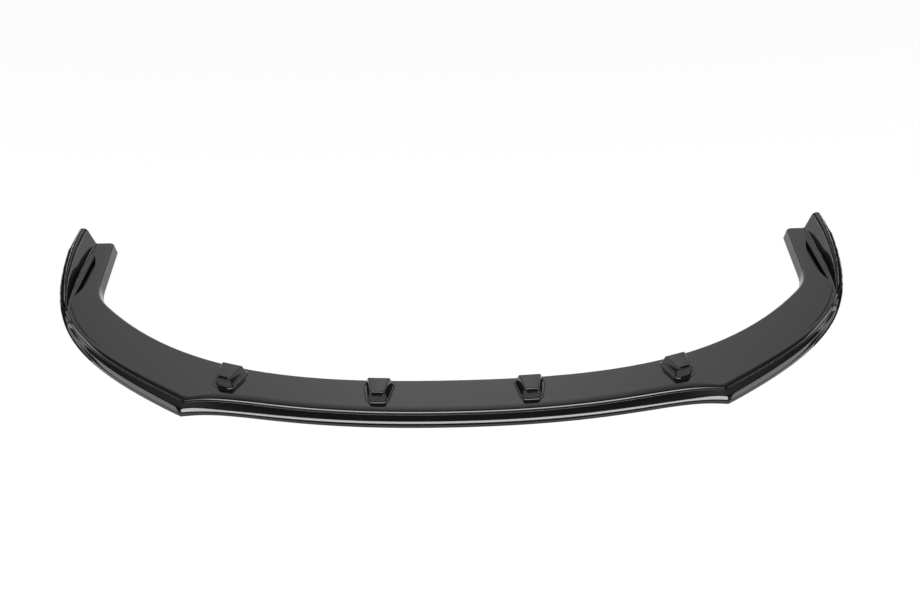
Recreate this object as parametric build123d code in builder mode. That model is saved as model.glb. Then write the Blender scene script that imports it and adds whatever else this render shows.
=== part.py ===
"""Front splitter lip for a car bumper, formed from one sheet of gloss black ABS.

The lip lies deck up on its trimmed rim. +X is to the right of a viewer who faces its front
edge, +Y runs back along the arms and +Z is up. The origin is on the floor, in the middle of
the width and the depth. All sizes are millimetres. One half is modelled and then mirrored:
the outside of the sheet as one solid, less the same shapes drawn in by the sheet's thickness.
"""

import os
from math import cos, hypot, radians, sqrt, tan

from build123d import *

# Sheet thickness and heights above the floor
wall = 4.0
deck_height = 24.0
step_height = 7.0
rim_height = 8.0
ledge_height = deck_height - step_height

# Plan sizes: x from the middle, and how far back from the foremost point
half_width = 870.0
depth = 608.0
side_reach = 22.0
arm_width = 86.0
lip_reach = 21.0
skirt_spread = 5.0
rear_edge_back = 111.0
bend_back = 455.0
deck_outer_x = half_width - side_reach
arm_inner_x = deck_outer_x - arm_width
lip_kink = (530.0, 48.0)
deck_kink = (524.0, 69.0)
bend_start = (arm_inner_x - 32, 372.0)

# Plan curves of one half, each by its two ends and the two points that pull it
lip_centre = [(0, 0), (340, 0), (420, 66), lip_kink]
lip_side = [lip_kink, (half_width - 70, 228), (half_width - 10, 350), (half_width, depth)]
deck_centre = [(0, lip_reach), (350, lip_reach), (415, 93), deck_kink]
deck_side = [deck_kink, (deck_outer_x - 72, 240), (deck_outer_x + 4, 318), (deck_outer_x, depth)]
rear_line = [(0, rear_edge_back), (300, rear_edge_back), (arm_inner_x - 222, 147), bend_start]
bend_line = [bend_start, (arm_inner_x - 12, 395.7), (arm_inner_x, 420), (arm_inner_x, bend_back)]

# The lip's hidden back edge, well under the deck
lip_root = [(half_width - 80, depth), (half_width - 80, 400), (lip_kink[0], 108), (0, 80)]
lip_tuck = 5.0
lip_setback = 2.0

# Rounded edges
lip_kink_radius = 5.0
deck_kink_radius = 17.0
arm_corner_radius = 10.0
deck_edge_radius = 4.5
deck_roll_radius = 14.0
nose_radius = 7.5

# Blocks along the rear edge, widths at the foot given front then rear
block_spacing = 291.0
block_height = 22.0
block_setback = 10.0
block_length = 57.0
block_widths = (38.0, 60.0)
block_taper = 17.5
block_corner_radius = 11.0
block_rear_cut = 7.0
block_top_cut = 2.0
block_root_radius = 4.5

# Fins along the outer side of the arms
fin_start = 0.64
fin_stations = 4
fin_hollow_lag = 0.1
fin_heights = (9.0, 58.5)
fin_crest_in = (12.0, 50.0)
fin_crest_radii = (2.5, 11.0)
fin_lean = 0.33
fin_cove_radii = (2.0, 12.0)
fin_heel_run = 30.0
fin_heel_drop = 8.0
fin_bury = 17.0
fin_toe_in = 0.7
fin_toe_drop = 3.0
fin_setback = 6.0

# Leaf grooves in the deck beside the fins
leaf_front = (deck_outer_x - 38, depth - 201)
leaf_rear = (deck_outer_x - 53, depth - 51)
leaf_bulge = 15.0
leaf_depth = 11.0
leaf_end_run = 21.0
leaf_side_run = 3.0


def at(point):
    """A plan point from its x and its distance behind the foremost point."""
    return Vector(point[0], point[1] - depth / 2)


def drawn_in(line, inset):
    """The four points of a plan curve, moved to the left of its run by the inset."""
    points = [at(p) for p in line]
    start = (points[1] - points[0]).normalized().rotate(Axis.Z, 90) * inset
    end = (points[3] - points[2]).normalized().rotate(Axis.Z, 90) * inset
    return [points[0] + start, points[1] + start, points[2] + end, points[3] + end]


def front_curves(centre_line, side_line, inset):
    """The two curves of a front line, drawn in and still meeting at the kink."""
    centre = drawn_in(centre_line, inset)
    side = drawn_in(side_line, inset)
    into = (centre[3] - centre[2]).normalized()
    out = (side[1] - side[0]).normalized()
    mitre = into.rotate(Axis.Z, 90) + out.rotate(Axis.Z, 90)
    kink = at(centre_line[3]) + mitre * (inset / (1 + into.dot(out)))
    side[3] = Vector(side[3].X, depth / 2 - max(inset, 0))
    return centre[:3] + [kink], [kink] + side[1:]


def deck_layer(inset, spread, height):
    """Plan of the deck laid at a height, with the line of its skirt moved out by the spread."""
    centre, side = front_curves(deck_centre, deck_side, inset)
    rear = drawn_in(rear_line, spread - inset)
    bend = rear[3:] + drawn_in(bend_line, spread - inset)[1:]
    corner = Vector(bend[3].X, depth / 2 - inset)
    with BuildSketch(Plane.XY.offset(height)) as plan:
        with BuildLine():
            Bezier(*centre)
            Bezier(*side)
            Polyline(side[3], corner, bend[3])
            Bezier(*reversed(bend))
            Bezier(*reversed(rear))
            Line(rear[0], centre[0])
        make_face()
        fillet(plan.vertices().sort_by_distance(side[0])[0], deck_kink_radius - inset)
        fillet(plan.vertices().sort_by_distance(corner)[0], arm_corner_radius - inset)
    return plan.sketch


def deck_body(inset):
    """The raised deck: rolled over in front, with a skirt behind that spreads down to the floor."""
    centre, side = front_curves(deck_centre, deck_side, inset)
    lift = Vector(0, 0, deck_height - inset)
    with BuildPart() as deck:
        add(deck_layer(inset, skirt_spread, -inset))
        add(deck_layer(inset, 0, deck_height - inset))
        loft(ruled=True)
        with BuildLine() as shoulder:
            Bezier(*[p + lift for p in centre])
            Bezier(*[p + lift for p in side])
        edges = deck.faces().sort_by(Axis.Z)[-1].edges().sort_by(Axis.X)[1:]
        front = [e for e in edges if shoulder.line.distance_to(e @ 0.5) < deck_edge_radius]
        if inset:
            chamfer(front, (deck_roll_radius - inset) * (2 - sqrt(2)))
        else:
            fillet(front, deck_roll_radius)
            edges = deck.faces().sort_by(Axis.Z)[-1].edges().sort_by(Axis.X)[1:]
            fillet([e for e in edges if shoulder.line.distance_to(e @ 0.5) > 2 * deck_roll_radius], deck_edge_radius)
    return deck.part


def lip_layer(centre_line, side_line, inset, end, height):
    """Plan of the lip behind a drawn-in front line, laid at a height."""
    centre, side = front_curves(centre_line, side_line, inset)
    side[3] = Vector(side[3].X, end)
    root = [at(p) for p in lip_root]
    root[0] = Vector(root[0].X, end)
    with BuildSketch(Plane.XY.offset(height)) as plan:
        with BuildLine():
            Bezier(*centre)
            Bezier(*side)
            Polyline(side[3], *root, centre[0])
        make_face()
        fillet(plan.vertices().sort_by_distance(side[0])[0], lip_kink_radius)
    return plan.sketch


def lip_body(inset):
    """The lip in front of the deck: upright rim, nose and a slope that runs on into the deck."""
    drop = ledge_height - rim_height
    slope = hypot(lip_reach, drop)
    rim = rim_height - inset * (slope - lip_reach) / drop
    top = ledge_height + lip_tuck * drop / lip_reach - inset * (slope - drop) / lip_reach
    end = depth / 2 - lip_setback - inset
    with BuildPart() as lip:
        add(lip_layer(lip_centre, lip_side, inset, end, -2 * inset))
        add(lip_layer(lip_centre, lip_side, inset, end, rim))
        add(lip_layer(deck_centre, deck_side, inset + lip_tuck, end, top))
        loft(ruled=True)
        if not inset:
            nose = [e for e in lip.edges() if abs(e.center().Z - rim) < 0.01]
            fillet([e for e in nose if e.geom_type != GeomType.LINE], nose_radius)
    return lip.part


def block_pair(inset):
    """Two tapered blocks on this half, evenly spaced along the rear edge and square to it."""
    lean = radians(block_taper)
    sink = 2 * inset
    narrow, wide = block_widths
    near = -block_setback - block_length
    far = -block_setback
    with BuildLine():
        edge = Bezier(*[at(p) for p in rear_line])
    with BuildPart() as pair:
        for step in (0.5, 1.5):
            spot = edge.position_at(step * block_spacing, PositionMode.LENGTH)
            along = edge.tangent_at(step * block_spacing, PositionMode.LENGTH)
            seat = Plane(spot + Vector(0, 0, deck_height - sink), x_dir=along, z_dir=(0, 0, 1))
            with BuildPart(mode=Mode.PRIVATE) as block:
                with BuildSketch(seat) as foot:
                    with BuildLine():
                        Polyline(
                            (-narrow / 2, near),
                            (narrow / 2, near),
                            (wide / 2, far),
                            (-wide / 2, far),
                            close=True,
                        )
                    make_face()
                    fillet(foot.vertices().sort_by(Axis.Y)[:2], block_corner_radius)
                    chamfer(foot.vertices().sort_by(Axis.Y)[-2:], block_rear_cut)
                    if inset:
                        offset(amount=sink * tan(lean) - inset / cos(lean))
                extrude(amount=block_height - inset + sink, taper=block_taper)
                if not inset:
                    chamfer(block.faces().sort_by(Axis.Z)[-1].edges(), block_top_cut)
            add(block.part)
    return pair.part


def fin_body(inset):
    """The fin that rises towards the arm end, lofted through sections square to the arm."""
    with BuildLine():
        rim = Bezier(*[at(p) for p in lip_side])
    lag = fin_hollow_lag if inset else 0
    with BuildPart() as fin:
        for step in range(fin_stations):
            share = lag + (1 - lag) * step / (fin_stations - 1)
            foot = rim.position_at(fin_start + (1 - fin_start) * share)
            y = foot.Y if share < 1 else depth / 2 - fin_setback - inset
            rise = fin_heights[0] + (fin_heights[1] - fin_heights[0]) * share * (2 - share)
            crest = foot.X - fin_crest_in[0] * (1 - share) - fin_crest_in[1] * share
            crest_radius = fin_crest_radii[0] * (1 - share) + fin_crest_radii[1] * share
            cove_radius = fin_cove_radii[0] * (1 - share) + fin_cove_radii[1] * share
            root = crest - fin_lean * rise
            heel = [(root - fin_heel_run, deck_height - fin_heel_drop), (root, deck_height)]
            if inset:
                heel = [(root - fin_lean * fin_bury, deck_height - fin_bury)]
            toe = (foot.X - fin_toe_in + inset * 2 / 3, rim_height - fin_toe_drop - 1.5 * inset)
            with BuildSketch(Plane((0, y, 0), x_dir=(1, 0, 0), z_dir=(0, -1, 0))) as section:
                with BuildLine():
                    Polyline(*heel, (crest, deck_height + rise), toe, close=True)
                make_face()
                by_height = section.vertices().sort_by(Axis.Y)
                if inset:
                    chamfer(by_height[-1], 2 * crest_radius)
                    offset(amount=-inset)
                else:
                    fillet(by_height[-1], crest_radius)
                    fillet(section.vertices().sort_by_distance((root, deck_height))[0], cove_radius)
        loft()
    return fin.part


def leaf_cutter(grow):
    """The leaf groove: one straight side, one bowed, narrowing down to its floor."""
    start = at(leaf_front)
    end = at(leaf_rear)
    along = (end - start).normalized()
    across = along.rotate(Axis.Z, 90)
    mouth = (deck_height, -leaf_end_run if grow else 0, -grow, leaf_bulge + 2 * grow)
    floor_bulge = leaf_bulge - 2 * leaf_side_run + 2 * grow
    floor = (deck_height - leaf_depth - grow, leaf_end_run - 3 * grow, leaf_side_run - grow, floor_bulge)
    with BuildPart() as cutter:
        for height, run, shift, bulge in (mouth, floor):
            head = start + along * run + across * shift
            tail = end - along * run + across * shift
            with BuildSketch(Plane.XY.offset(height)):
                with BuildLine():
                    ThreePointArc(head, (head + tail) * 0.5 + across * bulge, tail)
                    Line(tail, head)
                make_face()
        loft(ruled=True)
    return cutter.part


# Outside of the sheet: deck and lip
with BuildPart() as skin:
    add(deck_body(0))
    add(lip_body(0))

    # Blocks, rounded where they stand on the deck
    add(block_pair(0))
    deck_top = skin.faces().filter_by(Axis.Z).sort_by(SortBy.AREA)
    deck_top = [f for f in deck_top if abs(f.center().Z - deck_height) < 0.01][-1]
    fillet([e for w in deck_top.inner_wires() for e in w.edges()], block_root_radius)

    # Fin, then the leaf groove beside it
    add(fin_body(0))
    add(leaf_cutter(0), mode=Mode.SUBTRACT)

# Inside of the sheet, left standing round the groove
with BuildPart() as hollow:
    add(deck_body(wall))
    add(lip_body(wall))
    add(block_pair(wall))
    add(fin_body(wall))
    add(leaf_cutter(wall), mode=Mode.SUBTRACT)

# The sheet itself, both halves
with BuildPart() as splitter_lip:
    add(skin.part)
    add(hollow.part, mode=Mode.SUBTRACT)
    mirror(about=Plane.YZ)

splitter_lip.part.label = "splitter_lip"
os.makedirs("parts", exist_ok=True)
export_step(splitter_lip.part, "parts/splitter_lip.step")
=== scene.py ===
"""Looks of a front splitter lip: one sheet of gloss black plastic, on a pale studio floor."""

import math

import bpy
from mathutils import Matrix, Vector


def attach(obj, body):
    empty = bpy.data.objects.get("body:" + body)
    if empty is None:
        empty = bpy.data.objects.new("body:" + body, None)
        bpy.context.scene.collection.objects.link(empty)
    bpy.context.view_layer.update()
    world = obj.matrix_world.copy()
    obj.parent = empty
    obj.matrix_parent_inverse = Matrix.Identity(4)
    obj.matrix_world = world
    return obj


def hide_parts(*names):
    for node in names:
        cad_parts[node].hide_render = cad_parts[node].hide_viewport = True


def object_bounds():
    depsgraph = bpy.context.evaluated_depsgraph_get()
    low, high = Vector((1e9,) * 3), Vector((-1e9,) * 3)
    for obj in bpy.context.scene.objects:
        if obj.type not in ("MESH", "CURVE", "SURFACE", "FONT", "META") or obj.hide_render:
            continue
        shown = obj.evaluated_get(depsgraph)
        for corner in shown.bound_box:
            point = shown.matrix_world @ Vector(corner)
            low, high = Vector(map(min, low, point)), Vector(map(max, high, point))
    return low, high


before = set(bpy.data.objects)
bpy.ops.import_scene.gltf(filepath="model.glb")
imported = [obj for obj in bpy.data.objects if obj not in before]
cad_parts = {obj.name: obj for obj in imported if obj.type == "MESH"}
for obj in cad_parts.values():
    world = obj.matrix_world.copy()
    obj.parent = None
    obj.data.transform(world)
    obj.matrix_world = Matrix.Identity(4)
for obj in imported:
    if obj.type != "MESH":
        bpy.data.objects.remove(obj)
solid_low, solid_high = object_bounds()

# The splitter lip: one sheet of ABS, drawn over a mould and trimmed along its rim.
# A copy of the solid's mesh is welded into one skin, so that its rounded edges shade
# smoothly, and its broad flats keep their own normals.
SMOOTH_ANGLE = math.radians(52)
WELD_REACH = 0.00001

lip_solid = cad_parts["splitter_lip"]
bpy.ops.object.select_all(action="DESELECT")
lip_solid.select_set(True)
bpy.context.view_layer.objects.active = lip_solid
bpy.ops.object.duplicate()
lip = bpy.context.view_layer.objects.active
lip.name = "lip_sheet"
bpy.ops.object.mode_set(mode="EDIT")
bpy.ops.mesh.select_all(action="SELECT")
bpy.ops.mesh.customdata_custom_splitnormals_clear()
bpy.ops.mesh.remove_doubles(threshold=WELD_REACH)
bpy.ops.object.mode_set(mode="OBJECT")
bpy.ops.object.shade_smooth_by_angle(angle=SMOOTH_ANGLE)
flats = lip.modifiers.new("flats_keep_their_normals", "WEIGHTED_NORMAL")
flats.mode = "FACE_AREA_WITH_ANGLE"
flats.keep_sharp = True
bpy.ops.object.modifier_apply(modifier=flats.name)

# Its formed front: the same sheet's nose, ledge, step and softly crowned shoulder, laid as one clean
# grid over the solid's front from the middle to the fins, so that bright lines run unbroken along it.

# Plan curves of the rim and of the deck's edge, from the middle to the kink and from there along the
# side: each has its two ends and, between them, the two points that pull it
RIM_CENTRE = [(0, 0), (0.34, 0), (0.42, 0.066), (0.53, 0.048)]
RIM_SIDE = [(0.53, 0.048), (0.8, 0.228), (0.86, 0.35), (0.87, 0.608)]
DECK_CENTRE = [(0, 0.021), (0.35, 0.021), (0.415, 0.093), (0.524, 0.069)]
DECK_SIDE = [(0.524, 0.069), (0.776, 0.24), (0.852, 0.318), (0.848, 0.608)]
# How far along the side's curve the front ends, and how much of a curve one section takes to turn
# into the next, before that end and before the kink
FRONT_END = 0.66
FRONT_EASE = 0.13
KINK_EASE = 0.3
FRONT_SHEET = 0.0008
INWARD = -1
FRONT_SMOOTH_ANGLE = math.radians(40)
CENTRE_STEPS = 26
SIDE_STEPS = 34
GRID_HALF = 0.5
ROUNDING_LEVELS = 2
# Rows from the floor up, as share of the way from rim to deck and height: in the middle, along
# the side and at the end by the fin
ROWS = [
    ((-0.014, 0.0), (-0.014, 0.0), (-0.012, 0.0)),
    ((-0.014, 0.0052), (-0.014, 0.0074), (-0.012, 0.006)),
    ((0.0, 0.0064), (0.0, 0.0086), (-0.005, 0.008)),
    ((0.09, 0.0087), (0.10, 0.0106), (0.05, 0.0096)),
    ((0.25, 0.0112), (0.33, 0.0142), (0.12, 0.0125)),
    ((0.28, 0.0115), (0.37, 0.0146), (0.20, 0.0175)),
    ((0.34, 0.0119), (0.43, 0.0149), (0.28, 0.022)),
    ((0.60, 0.0140), (0.68, 0.0161), (0.36, 0.0265)),
    ((0.868, 0.0162), (0.962, 0.0174), (0.44, 0.031)),
    ((0.876, 0.0165), (0.970, 0.0177), (0.50, 0.0348)),
    ((0.88, 0.0196), (0.974, 0.0210), (0.545, 0.037)),
    ((0.892, 0.0201), (0.982, 0.0215), (0.585, 0.0372)),
    ((0.985, 0.0218), (1.01, 0.02195), (0.62, 0.035)),
    ((1.04, 0.0223), (1.06, 0.0223), (0.66, 0.030)),
    ((1.16, 0.0230), (1.20, 0.0232), (0.70, 0.0252)),
    ((1.32, 0.02358), (1.36, 0.02396), (0.80, 0.02413)),
    ((1.52, 0.02402), (1.43, 0.02406), (1.1, 0.02408)),
    ((1.72, 0.02406), (1.68, 0.02406), (1.5, 0.02406)),
    ((1.95, 0.02401), (1.95, 0.02401), (1.95, 0.02401)),
]


def along(curve, t):
    """A point of a plan curve that is given by its two ends and the two points that pull it."""
    a, b, c, d = (Vector(point) for point in curve)
    return a * (1 - t) ** 3 + 3 * b * t * (1 - t) ** 2 + 3 * c * t**2 * (1 - t) + d * t**3


def eased(left, stretch):
    """How far one section has turned into the next, with so much of a curve left to go."""
    share = max(1 - left / stretch, 0)
    return share * share * (3 - 2 * share)


front_steps = CENTRE_STEPS + SIDE_STEPS
row_steps = len(ROWS) - 1
bpy.ops.object.select_all(action="DESELECT")
bpy.ops.mesh.primitive_grid_add(x_subdivisions=front_steps, y_subdivisions=row_steps, size=2 * GRID_HALF)
front = bpy.context.view_layer.objects.active
front.name = "formed_front"
for vertex in front.data.vertices:
    step = round((vertex.co.x + GRID_HALF) * front_steps)
    row = round((vertex.co.y + GRID_HALF) * row_steps)
    middle, side, end = (Vector(section) for section in ROWS[row])
    if step <= CENTRE_STEPS:
        t = step / CENTRE_STEPS
        rim, deck = along(RIM_CENTRE, t), along(DECK_CENTRE, t)
        across, height = middle.lerp(side, eased(1 - t, KINK_EASE))
    else:
        t = FRONT_END * (step - CENTRE_STEPS) / SIDE_STEPS
        rim, deck = along(RIM_SIDE, t), along(DECK_SIDE, t)
        across, height = side.lerp(end, eased(FRONT_END - t, FRONT_EASE))
    spot = rim.lerp(deck, across)
    vertex.co = (spot.x, spot.y + solid_low.y, height)
halves = front.modifiers.new("other_half", "MIRROR")
halves.use_axis = (True, False, False)
rounding = front.modifiers.new("rounding", "SUBSURF")
rounding.levels = ROUNDING_LEVELS
rounding.render_levels = ROUNDING_LEVELS
sheet = front.modifiers.new("sheet", "SOLIDIFY")
sheet.thickness = FRONT_SHEET
sheet.offset = INWARD
for modifier in (halves, rounding, sheet):
    bpy.ops.object.modifier_apply(modifier=modifier.name)
bpy.ops.object.shade_smooth_by_angle(angle=FRONT_SMOOTH_ANGLE)
lip.select_set(True)
bpy.context.view_layer.objects.active = lip
bpy.ops.object.join()

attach(lip, "root")
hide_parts("splitter_lip")

# Its finish: black right through, with the gloss of the sheet as it comes off the roll.
# Faint waves come from the drawing, and fine dust and wiping haze dull the gloss here and there.


def speckle(tree, place, scale, detail):
    """Soft spots all over the piece, about so many of them to the metre."""
    spots = tree.nodes.new("ShaderNodeTexNoise")
    spots.inputs["Scale"].default_value = scale
    spots.inputs["Detail"].default_value = detail
    tree.links.new(place.outputs["Object"], spots.inputs["Vector"])
    return spots


def relief(tree, spots, strength, depth):
    """A faint relief that follows the spots."""
    bump = tree.nodes.new("ShaderNodeBump")
    bump.inputs["Strength"].default_value = strength
    bump.inputs["Distance"].default_value = depth
    tree.links.new(spots.outputs["Fac"], bump.inputs["Height"])
    return bump


def graded(tree, value, start, end, at_start, at_end):
    """A number that goes evenly from one level to another while a value goes from start to end."""
    grade = tree.nodes.new("ShaderNodeMapRange")
    grade.inputs["From Min"].default_value = start
    grade.inputs["From Max"].default_value = end
    grade.inputs["To Min"].default_value = at_start
    grade.inputs["To Max"].default_value = at_end
    tree.links.new(value, grade.inputs["Value"])
    return grade.outputs["Result"]


gloss_black = bpy.data.materials.new("gloss_black_abs")
gloss_black.use_nodes = True
tree = gloss_black.node_tree
skin = tree.nodes["Principled BSDF"]
skin.inputs["Base Color"].default_value = (0.004, 0.004, 0.0048, 1)
skin.inputs["IOR"].default_value = 1.53
place = tree.nodes.new("ShaderNodeTexCoord")

haze = speckle(tree, place, scale=9, detail=5)
haze.inputs["Roughness"].default_value = 0.62
gloss = graded(tree, haze.outputs["Fac"], start=0.35, end=0.75, at_start=0.06, at_end=0.13)
tree.links.new(gloss, skin.inputs["Roughness"])

waves = speckle(tree, place, scale=14, detail=1)
drawn = relief(tree, waves, strength=0.02, depth=0.004)
peel = speckle(tree, place, scale=420, detail=1)
pebbled = relief(tree, peel, strength=0.01, depth=0.0004)
tree.links.new(drawn.outputs["Normal"], pebbled.inputs["Normal"])
tree.links.new(pebbled.outputs["Normal"], skin.inputs["Normal"])

lip.data.materials.clear()
lip.data.materials.append(gloss_black)

# Painted shade: the outer flank of each fin takes no reflection at all, so it stays a plain black edge,
# with a dull fine grain on it as well. It is every face behind the front that looks well out to its own
# side.
FLANK_FRONT = -0.1
FLANK_LEAN = 0.74

grain_and_painted_shade = bpy.data.materials.new("grain_and_painted_shade_abs")
grain_and_painted_shade.use_nodes = True
tree = grain_and_painted_shade.node_tree
skin = tree.nodes["Principled BSDF"]
# Painted shade: no reflection on the flank, so it shows black under any lamp
skin.inputs["Specular IOR Level"].default_value = 0
place = tree.nodes.new("ShaderNodeTexCoord")

grain = speckle(tree, place, scale=900, detail=3)
black = tree.nodes.new("ShaderNodeValToRGB")
black.color_ramp.elements[0].color = (0.003, 0.003, 0.0036, 1)
black.color_ramp.elements[1].color = (0.012, 0.012, 0.013, 1)
tree.links.new(grain.outputs["Fac"], black.inputs["Fac"])
tree.links.new(black.outputs["Color"], skin.inputs["Base Color"])
dull = graded(tree, grain.outputs["Fac"], start=0, end=1, at_start=0.5, at_end=0.8)
tree.links.new(dull, skin.inputs["Roughness"])
pitted = relief(tree, grain, strength=0.3, depth=0.0002)
tree.links.new(pitted.outputs["Normal"], skin.inputs["Normal"])

lip.data.materials.append(grain_and_painted_shade)
painted_shade_slot = lip.data.materials.find(grain_and_painted_shade.name)
# The painted shade goes on each face behind the front that looks well out to its own side
for face in lip.data.polygons:
    faces_out = face.normal.x * math.copysign(1, face.center.x) > FLANK_LEAN
    if faces_out and face.center.y > FLANK_FRONT:
        face.material_index = painted_shade_slot

# The floor: a flat pale studio floor that stays white to the eye and in reflections, yet
# still takes the soft shadow under the rim.
FLOOR_SIZE = 14
FLOOR_LIFT = 0.9


def worked_out(tree, operation, *values):
    """A number worked out from others in one step of arithmetic."""
    sum_step = tree.nodes.new("ShaderNodeMath")
    sum_step.operation = operation
    for value, socket in zip(values, sum_step.inputs):
        tree.links.new(value, socket)
    return sum_step.outputs["Value"]


bpy.ops.object.select_all(action="DESELECT")
bpy.ops.mesh.primitive_plane_add(size=FLOOR_SIZE, location=(0, 0, solid_low.z))
floor = bpy.context.view_layer.objects.active
floor.name = "studio_floor"
pale = bpy.data.materials.new("pale_floor")
pale.use_nodes = True
tree = pale.node_tree
paint = tree.nodes["Principled BSDF"]
paint.inputs["Base Color"].default_value = (0.88, 0.88, 0.88, 1)
paint.inputs["Roughness"].default_value = 0.9
paint.inputs["Specular IOR Level"].default_value = 0
white = tree.nodes.new("ShaderNodeEmission")
white.inputs["Color"].default_value = (1, 1, 1, 1)
rays = tree.nodes.new("ShaderNodeLightPath")
seen = worked_out(tree, "MAXIMUM", rays.outputs["Is Camera Ray"], rays.outputs["Is Glossy Ray"])
shown = worked_out(tree, "MAXIMUM", seen, rays.outputs["Is Transmission Ray"])
lift = graded(tree, shown, start=0, end=1, at_start=0, at_end=FLOOR_LIFT)
blend = tree.nodes.new("ShaderNodeMixShader")
tree.links.new(lift, blend.inputs["Fac"])
tree.links.new(paint.outputs["BSDF"], blend.inputs[1])
tree.links.new(white.outputs["Emission"], blend.inputs[2])
tree.links.new(blend.outputs["Shader"], tree.nodes["Material Output"].inputs["Surface"])
floor.data.materials.append(pale)

# The room: a pale wall behind the part, brightest low down, that falls off to both sides, a duller
# ceiling and a dark front, as the gloss shows them.
room = bpy.data.worlds.new("studio_room")
bpy.context.scene.world = room
room.use_nodes = True
tree = room.node_tree
sky = tree.nodes["Background"]
sky.inputs["Color"].default_value = (0.97, 0.98, 1.0, 1)
toward = tree.nodes.new("ShaderNodeTexCoord")
apart = tree.nodes.new("ShaderNodeSeparateXYZ")
tree.links.new(toward.outputs["Generated"], apart.inputs["Vector"])

back = graded(tree, apart.outputs["Y"], start=0.15, end=0.75, at_start=0.05, at_end=1.6)
aside = worked_out(tree, "ABSOLUTE", apart.outputs["X"])
narrow = graded(tree, aside, start=0.05, end=0.5, at_start=1.0, at_end=0.12)
panel = worked_out(tree, "MULTIPLY", back, narrow)

low = graded(tree, apart.outputs["Z"], start=0.0, end=0.2, at_start=4.0, at_end=0.0)
behind = graded(tree, apart.outputs["Y"], start=0.0, end=0.5, at_start=0.0, at_end=1.0)
with_wall_foot = worked_out(tree, "MULTIPLY_ADD", low, behind, panel)
tree.links.new(with_wall_foot, sky.inputs["Strength"])

# The lamps: one broad soft box over the front, as in the bright line along the shoulder and the nose,
# and a weaker one to each side, as in the grey band along the nose there.
LAMP_AIM = Vector((0, 0, 0))
for name, place_at, width, length, power in (
    ("front_soft_box", (0, -1.6, 2.4), 4.0, 0.9, 128),
    ("left_soft_box", (-2.8, -0.1, 1.25), 2.6, 1.2, 30),
    ("right_soft_box", (2.8, -0.1, 1.25), 2.6, 1.2, 30),
):
    bpy.ops.object.light_add(type="AREA", location=place_at)
    lamp = bpy.context.view_layer.objects.active
    lamp.name = name
    lamp.data.shape = "RECTANGLE"
    lamp.data.size = width
    lamp.data.size_y = length
    lamp.data.energy = power
    lamp.rotation_euler = (LAMP_AIM - lamp.location).to_track_quat("-Z", "Y").to_euler()

# The camera: in front of the lip and above it, as in the photograph, aimed near the middle of the
# part and turned a little about its own axis.
CAMERA_AT = Vector((-0.0029, -2.0803, 1.6801))
CAMERA_AIM = Vector((0.0156, 0.0392, 0.024))
CAMERA_ROLL = -0.0171
CAMERA_LENS = 50
CAMERA_SENSOR = 36

bpy.ops.object.camera_add(location=CAMERA_AT)
camera = bpy.context.view_layer.objects.active
camera.data.lens = CAMERA_LENS
camera.data.sensor_width = CAMERA_SENSOR
facing = (CAMERA_AIM - CAMERA_AT).to_track_quat("-Z", "Y").to_matrix()
camera.rotation_euler = (facing @ Matrix.Rotation(CAMERA_ROLL, 3, "Z")).to_euler()
bpy.context.scene.camera = camera
bpy.context.scene.view_settings.view_transform = "Standard"
